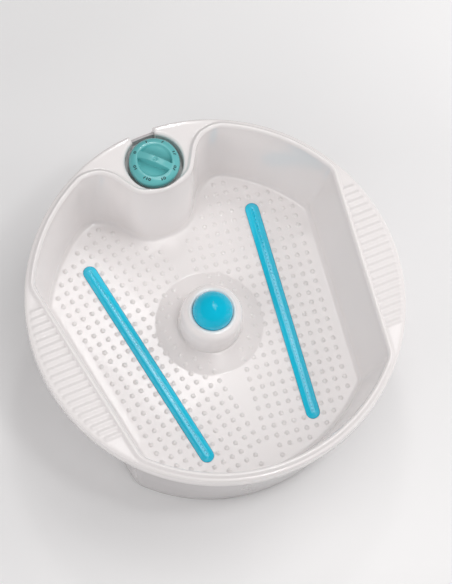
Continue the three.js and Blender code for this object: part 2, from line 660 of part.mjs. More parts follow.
function makeAirLines() {
  const bore = SPIGOT_BORE - 1;
  const { low, high, outlets } = MANIFOLD;
  const inlet = rod(BARB_RADIUS, [low[0] - 8, low[0] + 1], [PUMP_AXIS_Y, HOSE_Z], 16);
  const barbs = outlets.map((x) => (
    new THREE.CylinderGeometry(BARB_RADIUS, BARB_RADIUS, 9, 16).translate(x, low[1] - 3.5, HOSE_Z)
  ));
  addPiece('air_manifold', toGeometry(join(block(low, high), inlet, ...barbs)), 'grey');

  const mainRoute = [PUMP.high[0] + 8 + GAP, -8, 4, low[0] - 8 - GAP].map((x) => [x, PUMP_AXIS_Y, HOSE_Z]);
  addPiece('hose_main', tube(mainRoute, HOSE_RADIUS, bore, 4), 'hose');

  const barbEndY = low[1] - 8.7;
  const { x, y } = stripMiddle;
  const spigotEnd = SPIGOT_BOTTOM_Z - GAP;
  const leftRoute = [
    [outlets[0], barbEndY, HOSE_Z], [outlets[0], 46, 29.5], [0, 26, 26], [-50, 10, 26],
    [-74, -8, 30], [-x, y, 42], [-x, y, spigotEnd],
  ];
  addPiece('hose_left', tube(leftRoute, HOSE_RADIUS, bore, 14), 'hose');
  const rightRoute = [
    [outlets[1], barbEndY, HOSE_Z], [outlets[1], 45, 29.5], [54, 14, 27], [74, -7, 31],
    [x, y, 42], [x, y, spigotEnd],
  ];
  addPiece('hose_right', tube(rightRoute, HOSE_RADIUS, bore, 12), 'hose');
}

// ---------------------------------------------------------------- heater, board and wires
function makeHeater() {
  const top = FLOOR_UNDERSIDE_Z - GAP;
  const underPlate = top - 2 - GAP;
  addPiece('heater_plate', block([-36, -128, top - 2], [36, -78, top]), 'aluminium');
  addPiece('heater_element', block([-22, -118, underPlate - 8], [22, -96, underPlate]), 'seal');
  addPiece('thermostat', post(7, [underPlate - 8, underPlate], [28, -88], 20), 'steel');
  addPiece('thermal_fuse', rod(2.4, [-30, -8], [-86, underPlate - 2.6], 12), 'brass');
}

function makeElectronics() {
  const board = block(BOARD.low, BOARD.high);
  const sunk = BOARD.high[2] - 0.6; // each component starts a little inside the board
  const relay = block([64, 42, sunk], [84, 58, 32]);
  const terminalBlock = block([92, 70, sunk], [122, 84, 27]);
  const bigCapacitor = post(6, [sunk, 38], [104, 50], 16);
  const smallCapacitor = post(4.5, [sunk, 30], [72, 76], 16);
  const parts = join(board, relay, terminalBlock, bigCapacitor, smallCapacitor);
  addPiece('control_board', toGeometry(parts), 'board');

  const core = block([88, -64, 7], [120, -24, 43]);
  const winding = block([92, -68, 12], [116, -20, 38]);
  addPiece('transformer', toGeometry(join(core, winding)), 'steel');
}

function makeWires() {
  const routes = {
    wire_switch: [[10, 168, 112.6], [12, 170, 96], [26, 168, 60], [52, 140, 34], [66, 96, 22], [74, 84, 20]],
    wire_motor: [[60, 38, 22], [46, 10, 14], [34, -30, 13], [30, -56, 16], [22, -58, 20]],
    wire_heater: [[112, 38, 20], [92, 6, 20], [60, -40, 40], [46, -80, 56], [37, -90, 59.5]],
  };
  for (const [name, route] of Object.entries(routes)) {
    addPiece(name, tube(route, WIRE_RADIUS, 0, 10), 'wire');
  }
}

makeTub();
makeMassageHead();
makeStrip(-1, 'left');
makeStrip(1, 'right');
makeKnob();
makeHousing();
makeCover();
makeGland();
makeMotor();
makePump();
makeAirLines();
makeHeater();
makeElectronics();
makeWires();

export default footBath;
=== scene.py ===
# Looks of the pedicure foot bath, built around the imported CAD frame. Lengths below are in millimetres
# unless a name says otherwise, and every mesh is scaled to metres as it is made.
import json
import math

import bmesh
import bpy
import numpy as np
from mathutils import Matrix, Vector
from mathutils.geometry import delaunay_2d_cdt


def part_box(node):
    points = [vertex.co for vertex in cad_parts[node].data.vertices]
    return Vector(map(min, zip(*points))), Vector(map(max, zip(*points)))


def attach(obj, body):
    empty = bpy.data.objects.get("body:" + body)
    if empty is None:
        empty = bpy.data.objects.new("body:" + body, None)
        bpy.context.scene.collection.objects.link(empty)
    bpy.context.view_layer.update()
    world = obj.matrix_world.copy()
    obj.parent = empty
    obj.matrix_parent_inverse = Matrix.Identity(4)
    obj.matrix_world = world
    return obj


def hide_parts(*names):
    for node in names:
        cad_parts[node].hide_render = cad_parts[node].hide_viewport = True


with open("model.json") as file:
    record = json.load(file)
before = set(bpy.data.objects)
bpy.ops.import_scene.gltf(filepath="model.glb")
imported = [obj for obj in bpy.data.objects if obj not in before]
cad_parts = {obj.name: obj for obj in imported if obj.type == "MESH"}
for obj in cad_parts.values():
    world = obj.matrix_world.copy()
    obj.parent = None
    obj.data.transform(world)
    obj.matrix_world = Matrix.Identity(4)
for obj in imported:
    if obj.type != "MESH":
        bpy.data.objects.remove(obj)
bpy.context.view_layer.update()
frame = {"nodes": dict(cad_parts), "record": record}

MM = 0.001
WELD = 4e-6  # metres, the distance under which two points are one


def node_box(name):
    """A CAD node's lowest and highest corners, in millimetres."""
    low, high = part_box(name)
    return np.array(low) / MM, np.array(high) / MM


# ------------------------------------------------------------------ dimensions
TILT = math.radians(8.3)  # splay of the basin's sides and of the strips
RIM_RADIUS = node_box("tub")[1][0]
BEAD_HEIGHT = 3.0
CREST_Z = node_box("tub")[1][2]
DECK_Z = CREST_Z - BEAD_HEIGHT
WALL = 3.0
FLOOR_Z = DECK_Z - 96.0
FLOOR_FILLET = 5.0
MOUTH_EDGE_Z = DECK_Z - 1.5  # where the wall turns into the bead
SKIRT_BOTTOM_Z = DECK_Z - 19.0

MOUTH = dict(side_x=159.0, front=190.0, back=190.0, front_corner=20.0, back_corner=15.0,
             lobe_start=math.radians(64),
             lobe=[(63, 171.5), (50, 163), (41, 149.5), (32.5, 137.5), (19.5, 130.5), (0, 127.5)])
FLOOR = dict(side_x=143.0, front=174.0, back=175.0, front_corner=16.0, back_corner=12.0,
             lobe_start=math.radians(59),
             lobe=[(72, 155.5), (56, 150), (45, 140.5), (33, 123), (20, 113.5), (0, 110)])
HOUSING_TOP = dict(side_x=166.0, front=196.2, back=196.2, front_corner=26.0, back_corner=21.0)
HOUSING_FOOT = dict(side_x=151.0, front=179.0, back=179.0, front_corner=20.0, back_corner=18.0)
HOUSING_WALL = 2.5

KNOB_X, KNOB_Y = (node_box("control_knob")[0] + node_box("control_knob")[1])[:2] / 2
KNOB_RADIUS = (node_box("control_knob")[1] - node_box("control_knob")[0])[0] / 2
KNOB_FOOT_Z = node_box("control_knob")[0][2]
KNOB_TOP_Z = node_box("control_knob")[1][2]
KNOB_BAR_ANGLE = math.radians(-45)
WELL_RADIUS = 31.2
WELL_FLOOR_Z = DECK_Z - 14.0
WELL_DRAFT = 0.25
NOTCH_HALF = (12.0, 13.5)  # at the well and at the rim

CONE_FOOT, CONE_TOP, CONE_RISE = 58.5, 36.5, 6.0
BALL_CENTRE = (node_box("massage_ball")[0] + node_box("massage_ball")[1]) / 2
BALL_RADIUS = 21.75

STRIP_BACK = np.array([96.7, 102.5])
STRIP_FRONT = np.array([62.3, -133.4])
STRIP_RADIUS = 7.5
POCKET_RADIUS = 7.9
POCKET_Z = FLOOR_Z - 2.0
STRIP_TOP_Z = node_box("bubble_strip_left")[1][2]
STRIP_FOOT_Z = node_box("bubble_strip_left")[0][2]
CHANNEL_HALF_WIDTH = 1.7
CHANNEL_DEPTH = 0.4
HOLE_PITCH = 4.0
HOLE_RADIUS = 0.75
HOLE_DEPTH = 1.2
STRIP_EDGE_RISE = 0.2  # of the strip's edge above the floor
STRIP_INSETS = (0.05, 0.25, 0.6, 1.1, 1.8, 2.7, 3.7, 4.8, 5.8, 5.9, 6.0, 6.1, 6.2, 6.8)

BUMP_PITCH = 11.2
BUMP_START = np.array([140.0, 89.0])
BUMP_HEIGHT = 1.0
BUMP_RADIUS = 2.8
BUMP_POWER = 1.15  # above 1, so that the bump's foot runs out softly
BUMP_RINGS = (3.2, 2.8, 2.6, 2.1, 1.4, 0.7)
BUMP_KEEP_OUT = 3.4  # radius round a bump that other guide lines stay out of
BUMP_TO_WALL = 2.6  # from a bump's centre to the floor's fillet
BUMP_TO_POCKET = 3.2
BUMP_TO_CONE_TOP = 4.5
BARE_MIDDLE = (9.0, 0.035)  # half width of the floor's bare middle at y = 0, and its growth with y

RIB_PITCH = 8.1
RIB_TOP_Y = 56.0
RIB_COUNT = 20
RIB_HALF_WIDTH = RIB_PITCH / 2
RIB_HEIGHT = 1.5
RIB_START = 6.2  # from the basin's mouth
RIB_END = 3.0  # from the rim
RIB_GUIDES = (3.95, 3.3, 2.7, 2.0, 1.3, 0.65)  # half widths of the outlines along each rib

BOTH_SIDES = (np.array([-1, 1]), np.array([1, 1]))  # factors that mirror a plan point, or leave it


# ------------------------------------------------------------------ outlines in plan
def arc(x, y, radius, start, end, steps):
    """Points along an arc, both ends included."""
    angles = np.linspace(start, end, steps + 1)
    return np.column_stack([x + radius * np.cos(angles), y + radius * np.sin(angles)])


def circle(x, y, radius, steps):
    return arc(x, y, radius, 0, 2 * math.pi, steps)[:-1]


def smooth_through(points, start_direction, end_direction, steps):
    """A curve through the points, leaving and arriving in the given directions."""
    points = np.array(points, float)
    chords = np.diff(points, axis=0)
    tangents = np.empty_like(points)
    tangents[1:-1] = (points[2:] - points[:-2]) / 2
    tangents[0] = np.array(start_direction) * np.linalg.norm(chords[0])
    tangents[-1] = np.array(end_direction) * np.linalg.norm(chords[-1])
    found = []
    for where in np.linspace(0, len(points) - 1, steps + 1):
        i = min(int(where), len(points) - 2)
        t = where - i
        found.append((2 * t**3 - 3 * t**2 + 1) * points[i] + (t**3 - 2 * t**2 + t) * tangents[i]
                     + (3 * t**2 - 2 * t**3) * points[i + 1] + (t**3 - t**2) * tangents[i + 1])
    return np.array(found)


def corner_centre(level, arc_radius, corner_radius, end):
    """Centre of the corner between a straight side and the front (end -1) or back (end 1) arc."""
    from_side = level["side_x"] * math.cos(TILT) - corner_radius
    along = end * math.sqrt((arc_radius - corner_radius) ** 2 - from_side**2)
    return np.array([from_side * math.cos(TILT) + along * math.sin(TILT),
                     -from_side * math.sin(TILT) + along * math.cos(TILT)])


def outline(level):
    """Anticlockwise from the middle of the front edge, with the same count for each basin level."""
    front = corner_centre(level, level["front"], level["front_corner"], -1)
    back = corner_centre(level, level["back"], level["back_corner"], 1)
    front_turn = math.atan2(front[1], front[0])
    back_turn = math.atan2(back[1], back[0])
    corner = arc(*front, level["front_corner"], front_turn, -TILT, 12)
    back_corner = arc(*back, level["back_corner"], -TILT, back_turn, 12)
    back_end = level.get("lobe_start", math.pi / 2)
    pieces = [arc(0, 0, level["front"], -math.pi / 2, front_turn, 56), corner,
              np.linspace(corner[-1], back_corner[0], 25), back_corner,
              arc(0, 0, level["back"], back_turn, back_end, 14 if "lobe" in level else 60)]
    if "lobe" in level:
        leaving = (-math.sin(back_end), math.cos(back_end))
        pieces.append(smooth_through([pieces[-1][-1], *level["lobe"]], leaving, (-1, 0), 60))
    half = np.vstack([pieces[0]] + [piece[1:] for piece in pieces[1:]])
    return np.vstack([half, half[-2:0:-1] * [-1, 1]])


def normals(points):
    """Outward normals of an anticlockwise outline, lengthened at corners so that offsets keep their gap."""
    before = points - np.roll(points, 1, axis=0)
    after = np.roll(points, -1, axis=0) - points
    before /= np.linalg.norm(before, axis=1)[:, None]
    after /= np.linalg.norm(after, axis=1)[:, None]
    both = np.column_stack([before[:, 1] + after[:, 1], -before[:, 0] - after[:, 0]])
    both /= np.linalg.norm(both, axis=1)[:, None]
    return both / (both[:, 0] * before[:, 1] - both[:, 1] * before[:, 0])[:, None]


def offset(points, distance):
    return points + normals(points) * distance


def inside(points, polygon):
    """True for each point within the closed polygon."""
    x, y = points[:, 0][:, None], points[:, 1][:, None]
    x0, y0 = polygon[:, 0], polygon[:, 1]
    x1, y1 = np.roll(x0, -1), np.roll(y0, -1)
    spans = (y0 > y) != (y1 > y)
    crossing = x0 + (y - y0) * (x1 - x0) / np.where(y1 == y0, 1e-12, y1 - y0)
    return (spans & (x < crossing)).sum(axis=1) % 2 == 1


def nearest(points, polygon):
    """Distance to a closed polygon, and the nearest point on it, for each point."""
    start = polygon
    along = np.roll(polygon, -1, axis=0) - polygon
    length2 = (along**2).sum(axis=1)
    distances, places = [], []
    for block in np.array_split(points, max(1, len(points) // 3000)):
        gap = block[:, None, :] - start[None]
        t = np.clip((gap * along).sum(axis=2) / length2, 0, 1)
        foot = start[None] + t[..., None] * along[None]
        distance = np.linalg.norm(block[:, None, :] - foot, axis=2)
        best = distance.argmin(axis=1)
        rows = np.arange(len(block))
        distances.append(distance[rows, best])
        places.append(foot[rows, best])
    return np.concatenate(distances), np.vstack(places)


def segment_distance(points, start, end):
    """Distance of each point from the segment."""
    along = end - start
    t = np.clip(((points - start) @ along) / (along @ along), 0, 1)
    return np.linalg.norm(points - start - t[:, None] * along, axis=1)


def capsule(start, end, radius, steps, along):
    """Outline of a slot with round ends, anticlockwise, its straight sides cut into `along` parts."""
    turn = math.atan2(*(end - start)[::-1])
    far = arc(*end, radius, turn - math.pi / 2, turn + math.pi / 2, steps)
    near = arc(*start, radius, turn + math.pi / 2, turn + 3 * math.pi / 2, steps)
    sides = [np.linspace(far[-1], near[0], along + 1)[1:-1], np.linspace(near[-1], far[0], along + 1)[1:-1]]
    return np.vstack([far, sides[0], near, sides[1]])


# ------------------------------------------------------------------ meshes
class Relief:
    """A sheet laid out in plan between guide lines, whose heights come from a function."""

    def __init__(self):
        self.points, self.edges = [], []

    def line(self, points, closed=True, keep=None):
        kept = np.ones(len(points), bool) if keep is None else keep(np.asarray(points, float))
        first, count = len(self.points), len(points)
        self.points.extend(Vector((float(x), float(y))) for x, y in points)
        for i in range(count if closed else count - 1):
            j = (i + 1) % count
            if kept[i] and kept[j]:
                self.edges.append((first + i, first + j))
        if not kept.all():
            self.points, self.edges = drop_loose(self.points, self.edges, first, kept)

    def triangles(self, belongs):
        points, _, faces, _, _, _ = delaunay_2d_cdt(self.points, self.edges, [], 0, 1e-4)
        points = np.array([[p[0], p[1]] for p in points])
        faces = np.array([f for f in faces if len(f) == 3])
        faces = faces[belongs(points[faces].mean(axis=1))]
        used = np.unique(faces)
        renumber = np.zeros(len(points), int)
        renumber[used] = np.arange(len(used))
        return points[used], renumber[faces]


def drop_loose(points, edges, first, kept):
    """The lists without the points from `first` on that aren't kept."""
    renumber = list(range(first))
    kept_points = points[:first]
    for i, keep in enumerate(kept):
        renumber.append(len(kept_points) if keep else -1)
        if keep:
            kept_points.append(points[first + i])
    return kept_points, [(renumber[a], renumber[b]) for a, b in edges if renumber[a] >= 0 <= renumber[b]]


class Shell:
    """Vertices and faces gathered from several sheets, welded into one mesh at the end."""

    def __init__(self):
        self.verts, self.faces = [], []

    def add(self, verts, faces):
        first = len(self.verts)
        self.verts.extend(tuple(v) for v in verts)
        self.faces.extend(tuple(int(i) + first for i in face) for face in faces)

    def sheet(self, plan, heights, faces):
        self.add(np.column_stack([plan, heights]), faces)

    def rings(self, rings):
        """Skins closed rings of equal point counts, each an array of x, y, z."""
        count = len(rings[0])
        faces = [(k * count + i, k * count + (i + 1) % count,
                  (k + 1) * count + (i + 1) % count, (k + 1) * count + i)
                 for k in range(len(rings) - 1) for i in range(count)]
        self.add(np.vstack(rings), faces)

    def piece(self, name, body, material, smooth_angle=40, weld=WELD):
        mesh = bpy.data.meshes.new(name)
        mesh.from_pydata([(x * MM, y * MM, z * MM) for x, y, z in self.verts], [], self.faces)
        work = bmesh.new()
        work.from_mesh(mesh)
        bmesh.ops.remove_doubles(work, verts=work.verts, dist=weld)
        bmesh.ops.dissolve_degenerate(work, edges=work.edges, dist=1e-7)
        bmesh.ops.recalc_face_normals(work, faces=work.faces)
        work.to_mesh(mesh)
        work.free()
        mesh.shade_smooth()
        mesh.set_sharp_from_angle(angle=math.radians(smooth_angle))
        mesh.materials.append(material)
        piece = bpy.data.objects.new(name, mesh)
        bpy.context.scene.collection.objects.link(piece)
        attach(piece, body)
        return piece


def flat_ring(points, z):
    return np.column_stack([points, np.full(len(points), z)])


def turned(shell, profile, centre=(0, 0), segments=96):
    """Adds a solid of revolution. The profile is (radius, z) pairs, closed on itself or on the axis."""
    angles = np.linspace(0, 2 * math.pi, segments, endpoint=False)
    rings = [np.column_stack([centre[0] + max(radius, 1e-4) * np.cos(angles),
                              centre[1] + max(radius, 1e-4) * np.sin(angles),
                              np.full(segments, z)]) for radius, z in profile]
    shell.rings(rings)


def rounded(profile, steps):
    """Rounds an open profile's corners: each entry is (radius, z, fillet)."""
    points = []
    for i, (x, z, fillet) in enumerate(profile):
        here = np.array([x, z], float)
        if fillet <= 0 or i in (0, len(profile) - 1):
            points.append(here)
            continue
        before = np.array(profile[i - 1][:2], float) - here
        after = np.array(profile[i + 1][:2], float) - here
        start = here + before / np.linalg.norm(before) * fillet
        end = here + after / np.linalg.norm(after) * fillet
        for t in np.linspace(0, 1, steps + 1):
            points.append((1 - t) ** 2 * start + 2 * t * (1 - t) * here + t**2 * end)
    return [tuple(p) for p in points]


def quarter(t):
    """Height of a quarter circle of radius 1 at distance t from its foot, for t from 0 to 1."""
    return np.sqrt(np.clip(1 - (1 - np.clip(t, 0, 1)) ** 2, 0, 1))


def soft_step(t):
    t = np.clip(t, 0, 1)
    return t * t * (3 - 2 * t)


# ------------------------------------------------------------------ materials
def new_material(name):
    material = bpy.data.materials.new(name)
    material.use_nodes = True
    nodes = material.node_tree.nodes
    return material, nodes, material.node_tree.links, nodes["Principled BSDF"]


def noise(nodes, links, scale, detail=3.0):
    where = nodes.new("ShaderNodeTexCoord")
    texture = nodes.new("ShaderNodeTexNoise")
    texture.inputs["Scale"].default_value = scale
    texture.inputs["Detail"].default_value = detail
    links.new(where.outputs["Object"], texture.inputs["Vector"])
    return texture


def ramp(nodes, links, source, low, high, span=(0.3, 0.7)):
    """Colours from low to high over the source's values."""
    blend = nodes.new("ShaderNodeValToRGB")
    blend.color_ramp.elements[0].position = span[0]
    blend.color_ramp.elements[1].position = span[1]
    blend.color_ramp.elements[0].color = (*low, 1)
    blend.color_ramp.elements[1].color = (*high, 1)
    links.new(source, blend.inputs["Fac"])
    return blend


def value_range(nodes, links, source, low, high):
    """Spreads a noise's values from low to high."""
    spread = nodes.new("ShaderNodeMapRange")
    spread.inputs["From Min"].default_value = 0.3
    spread.inputs["From Max"].default_value = 0.7
    spread.inputs["To Min"].default_value = low
    spread.inputs["To Max"].default_value = high
    links.new(source, spread.inputs["Value"])
    return spread.outputs["Result"]


def surface(name, colour, roughness, variation=0.03, cloud=9.0, grain=900.0, bump=0.04, metallic=0.0,
            coat=0.0, transmission=0.0, grain_depth=0.00012, specular=0.5):
    """A moulded or metal surface: cloudy colour, uneven gloss and a fine grain in its relief."""
    material, nodes, links, shader = new_material(name)
    colour = np.array(colour, float)
    clouds = noise(nodes, links, cloud)
    darker, lighter = colour * (1 - variation), np.minimum(colour * (1 + variation), 1)
    tint = ramp(nodes, links, clouds.outputs["Fac"], darker, lighter)
    links.new(tint.outputs["Color"], shader.inputs["Base Color"])
    links.new(value_range(nodes, links, noise(nodes, links, cloud * 5).outputs["Fac"],
                          roughness * 0.85, roughness * 1.15), shader.inputs["Roughness"])
    fine = noise(nodes, links, grain, 2.0)
    relief = nodes.new("ShaderNodeBump")
    relief.inputs["Strength"].default_value = bump
    relief.inputs["Distance"].default_value = grain_depth
    links.new(fine.outputs["Fac"], relief.inputs["Height"])
    links.new(relief.outputs["Normal"], shader.inputs["Normal"])
    shader.inputs["Metallic"].default_value = metallic
    shader.inputs["Specular IOR Level"].default_value = specular
    shader.inputs["Coat Weight"].default_value = coat
    shader.inputs["Coat Roughness"].default_value = 0.04
    shader.inputs["Transmission Weight"].default_value = transmission
    shader.inputs["IOR"].default_value = 1.49
    return material


WHITE = surface("white_shell", (0.86, 0.828, 0.822), 0.17, variation=0.012, cloud=6.0, grain=28.0,
                bump=0.7, coat=0.4, grain_depth=0.00006)
# The housing is the tub's white plastic, given a darker grey here as painted shade: the colour stands for
# the shade the housing sits in under the skirt.
SHADED_HOUSING_WHITE = surface("housing_white_painted_shade", (0.52, 0.495, 0.50), 0.17, variation=0.012, cloud=6.0, grain=28.0,
                        bump=0.7, coat=0.4, grain_depth=0.00006)
CYAN_BALL = surface("cyan_ball", (0.0, 0.50, 0.71), 0.05, variation=0.03, cloud=14.0, grain=60.0, bump=0.1,
                    specular=0.16, coat=0.5, grain_depth=0.00001)
CYAN_STRIP = surface("cyan_strip", (0.0, 0.60, 0.84), 0.1, variation=0.03, cloud=12.0, grain=60.0,
                     bump=0.15, coat=1.0, specular=0.6, grain_depth=0.00004)
TEAL = surface("teal_knob", (0.135, 0.50, 0.51), 0.24, variation=0.03, cloud=30.0, grain=90.0, bump=0.3,
               coat=0.4, grain_depth=0.00004)
MARK = surface("knob_marks", (0.02, 0.05, 0.055), 0.5, variation=0.1, cloud=300.0)
GREY = surface("grey_plastic", (0.30, 0.31, 0.325), 0.5, variation=0.04, cloud=12.0, grain=1800.0, bump=0.5)
RUBBER = surface("black_rubber", (0.022, 0.022, 0.024), 0.75, variation=0.15, cloud=60.0, grain=2600.0,
                 bump=0.6)
SEAL = surface("seal_rubber", (0.50, 0.48, 0.43), 0.55, variation=0.06, cloud=50.0)
STEEL = surface("steel", (0.55, 0.56, 0.58), 0.32, variation=0.05, cloud=40.0, metallic=1.0, bump=0.3)
BRASS = surface("brass", (0.66, 0.47, 0.18), 0.28, variation=0.06, cloud=60.0, metallic=1.0, bump=0.2)
COPPER = surface("copper", (0.55, 0.24, 0.10), 0.35, variation=0.12, cloud=120.0, metallic=0.9, bump=0.6)
ALUMINIUM = surface("aluminium", (0.70, 0.71, 0.72), 0.34, variation=0.04, cloud=25.0, metallic=1.0,
                    bump=0.3)
BOARD = surface("circuit_board", (0.02, 0.16, 0.07), 0.45, variation=0.2, cloud=160.0, bump=0.5)
HOSE = surface("hose", (0.62, 0.65, 0.62), 0.3, variation=0.04, cloud=40.0, transmission=0.3)
WIRE = surface("wire", (0.05, 0.055, 0.065), 0.5, variation=0.1, cloud=90.0, grain=2200.0, bump=0.5)

SLOT_LOOKS = dict(white_shell=WHITE, cyan_plastic=CYAN_BALL, teal_plastic=TEAL, grey_plastic=GREY,
                  black_rubber=RUBBER, seal_rubber=SEAL, steel=STEEL, brass=BRASS, copper=COPPER,
                  aluminium=ALUMINIUM, circuit_board=BOARD, hose=HOSE, wire=WIRE)


def dress_cad_nodes():
    """Gives every CAD node the finished material of its slot."""
    for part in frame["record"]["subparts"]:
        mesh = frame["nodes"][part["node"]].data
        mesh.materials.clear()
        mesh.materials.append(SLOT_LOOKS[part["material_slot"]])


# ------------------------------------------------------------------ tub
MOUTH_LINE = outline(MOUTH)
FLOOR_LINE = outline(FLOOR)
WELL_CENTRE = np.array([KNOB_X, KNOB_Y])
BEAD_RINGS = (0, 0.06, 0.25, 0.6, 1.1, 1.8, 2.6, 3.5, 4.1, 4.6, 5.1, 5.6, 6.1, 6.6, 7.2, 8.2)
RIM_RINGS = (194, 197.4, 198.2, 198.9, 199.4, 199.75, 199.93, 200)
WELL_RINGS = (-WELL_DRAFT, 0, 0.04, 0.2, 0.5, 0.9, 1.4, 2.0, 2.7, 3.5, 4.3)
NOTCH_LINES = (-WELL_DRAFT, 0, 0.05, 0.2, 0.5, 0.9, 1.4, 2.0, 2.6)
WELL_FILLET = (2.0, 4.2)  # beside the basin and towards the rim
NOTCH_FILLET = 2.4
RIM_FILLET = 2.6
BEAD_CREST = 3.5  # distance of the bead's crest from the mouth
BEAD_FALL_START = 3.6
BEAD_FALL = 3.6
BEAD_REACH = BEAD_RINGS[-1]
SKIRT_ROOM_RADIUS = RIM_RINGS[0]  # beyond it the underside is drawn in, to leave the skirt's wall
SKIRT_ROOM_SHARE = 0.5
FILLET_GROWS_FROM = -12.0  # from the knob's centre, towards the rim
FILLET_GROWS_OVER = 28.0
RIM_SEGMENTS = 288
ON_LINE = 2e-3  # a point nearer than this to a line is on it
ON_EDGE = 1e-3
LIP_RISE = 1.2
SKIRT_LIP = [(199.85, 0.6), (199.4, 0.15), (198.5, 0), (197.6, 0.15), (197.12, 0.6),
             (RIM_RADIUS - WALL, LIP_RISE)]  # radius, and height above the skirt's bottom
OUTER_WALL_LEVELS = (150, 130, 110, 90, FLOOR_Z + 2)
CONE_GUIDES = (CONE_FOOT + 1, CONE_FOOT, CONE_FOOT - 1, 54, 50, 46, 42, CONE_TOP + 1, CONE_TOP)


def notch_half(y):
    inner, outer = NOTCH_HALF
    return inner + (outer - inner) * (y - KNOB_Y) / (RIM_RADIUS - KNOB_Y)


def keyhole_gap(plan):
    """Distance outside the well and outside the notch, negative inside either."""
    well = np.linalg.norm(plan - WELL_CENTRE, axis=1) - WELL_RADIUS
    notch = np.where(plan[:, 1] > KNOB_Y, np.abs(plan[:, 0]) - notch_half(plan[:, 1]), 1e3)
    return well, notch


def ribs():
    """Ends of the grip ribs on the +X wing, as (start, end) pairs of points."""
    found = []
    for k in range(RIB_COUNT):
        y = RIB_TOP_Y - k * RIB_PITCH
        start = MOUTH["side_x"] + math.tan(TILT) * y + RIB_START / math.cos(TILT)
        end = math.sqrt((RIM_RADIUS - RIB_END) ** 2 - y * y) - RIB_HALF_WIDTH
        found.append((np.array([start, y]), np.array([end, y])))
    return found


def deck_height(plan):
    """Height of the deck's top: bead, ribs, rounded rim, knob well and notch."""
    gap, _ = nearest(plan, MOUTH_LINE)
    gap = np.where(gap < ON_LINE, 0, gap)
    bead_inner = MOUTH_EDGE_Z + (CREST_Z - MOUTH_EDGE_Z) * quarter(gap / BEAD_CREST)
    bead_outer = CREST_Z - BEAD_HEIGHT * soft_step((gap - BEAD_FALL_START) / BEAD_FALL)
    z = np.where(gap < BEAD_CREST, bead_inner, bead_outer)
    for start, end in ribs():
        for mirror in BOTH_SIDES:
            near = segment_distance(plan, start * mirror, end * mirror)
            rib = RIB_HEIGHT * np.cos(np.clip(near / RIB_HALF_WIDTH, 0, 1) * math.pi / 2) ** 2
            z = np.where(gap > BEAD_CREST, np.maximum(z, DECK_Z + rib), z)
    radius = np.linalg.norm(plan, axis=1)
    z = z - RIM_FILLET * (1 - quarter((RIM_RADIUS - radius) / RIM_FILLET))
    well, notch = keyhole_gap(plan)
    near_fillet, far_fillet = WELL_FILLET
    growth = soft_step((plan[:, 1] - KNOB_Y - FILLET_GROWS_FROM) / FILLET_GROWS_OVER)
    fillet = near_fillet + (far_fillet - near_fillet) * growth
    z = z - fillet * (1 - quarter(well / fillet)) * (well > -ON_EDGE)
    z = z - NOTCH_FILLET * (1 - quarter(notch / NOTCH_FILLET)) * ((notch > -ON_EDGE) & (well > 0))
    low = (well < -ON_EDGE - WELL_DRAFT / 2) | (notch < -ON_EDGE - WELL_DRAFT / 2)
    return np.where(low, WELL_FLOOR_Z, z)


def deck_underside(plan):
    """The plan and height of the point under each point of the deck's top."""
    gap, foot = nearest(plan, MOUTH_LINE)
    away = plan - foot
    on_line = gap < ON_LINE
    which = ((plan[:, None] - MOUTH_LINE[None]) ** 2).sum(axis=2).argmin(axis=1)
    unit = normals(MOUTH_LINE)
    unit /= np.linalg.norm(unit, axis=1)[:, None]
    away = np.where(on_line[:, None], unit[which], away / np.maximum(gap, 1e-6)[:, None])
    shift = np.where(gap < BEAD_REACH, WALL * (1 - gap / BEAD_REACH), 0)
    under = plan + away * shift[:, None]
    radius = np.linalg.norm(under, axis=1)
    drawn_in = SKIRT_ROOM_RADIUS + (radius - SKIRT_ROOM_RADIUS) * SKIRT_ROOM_SHARE
    inner = np.where(radius > SKIRT_ROOM_RADIUS, drawn_in, radius)
    under = under * (inner / radius)[:, None]
    return under, underside_height(under, np.full(len(under), DECK_Z - WALL))


def underside_height(plan, z):
    """Drops what lies under the knob's well and notch below their floors."""
    near_well = np.linalg.norm(plan - WELL_CENTRE, axis=1) < WELL_RADIUS + WALL
    near_notch = (np.abs(plan[:, 0]) < NOTCH_HALF[1] + WALL) & (plan[:, 1] > KNOB_Y)
    return np.where(near_well | near_notch, np.minimum(z, WELL_FLOOR_Z - WALL), z)


def beside_well(plan):
    """True outside the knob's well and short of the rim."""
    return (keyhole_gap(plan)[0] > -0.5) & (np.linalg.norm(plan, axis=1) < RIM_RADIUS - 0.5)


def beside_mouth(plan):
    """True outside the basin's mouth and up to the rim."""
    return ~inside(plan, MOUTH_LINE) & (np.linalg.norm(plan, axis=1) < RIM_RADIUS + 0.1)


def lay_out_deck():
    """The deck's triangles in plan."""
    deck = Relief()
    deck.line(MOUTH_LINE)
    for distance in BEAD_RINGS[1:]:
        deck.line(offset(MOUTH_LINE, distance), keep=beside_well)
    for radius in RIM_RINGS:
        deck.line(circle(0, 0, radius, RIM_SEGMENTS), keep=None if radius == RIM_RADIUS else beside_mouth)
    for distance in WELL_RINGS:
        deck.line(circle(*WELL_CENTRE, WELL_RADIUS + distance, 120), keep=beside_mouth)
    ys = np.linspace(KNOB_Y + 18, RIM_RADIUS + 1, 14)
    for distance in NOTCH_LINES:
        for side in (-1, 1):
            deck.line(np.column_stack([side * (notch_half(ys) + distance), ys]), closed=False)
    for start, end in ribs():
        for mirror in BOTH_SIDES:
            for width in RIB_GUIDES:
                deck.line(capsule(start * mirror, end * mirror, width, 8, 3))
            deck.line(np.linspace(start, end, 4) * mirror, closed=False)
    rim = circle(0, 0, RIM_RADIUS, RIM_SEGMENTS)
    return deck.triangles(lambda middle: ~inside(middle, MOUTH_LINE) & inside(middle, rim))


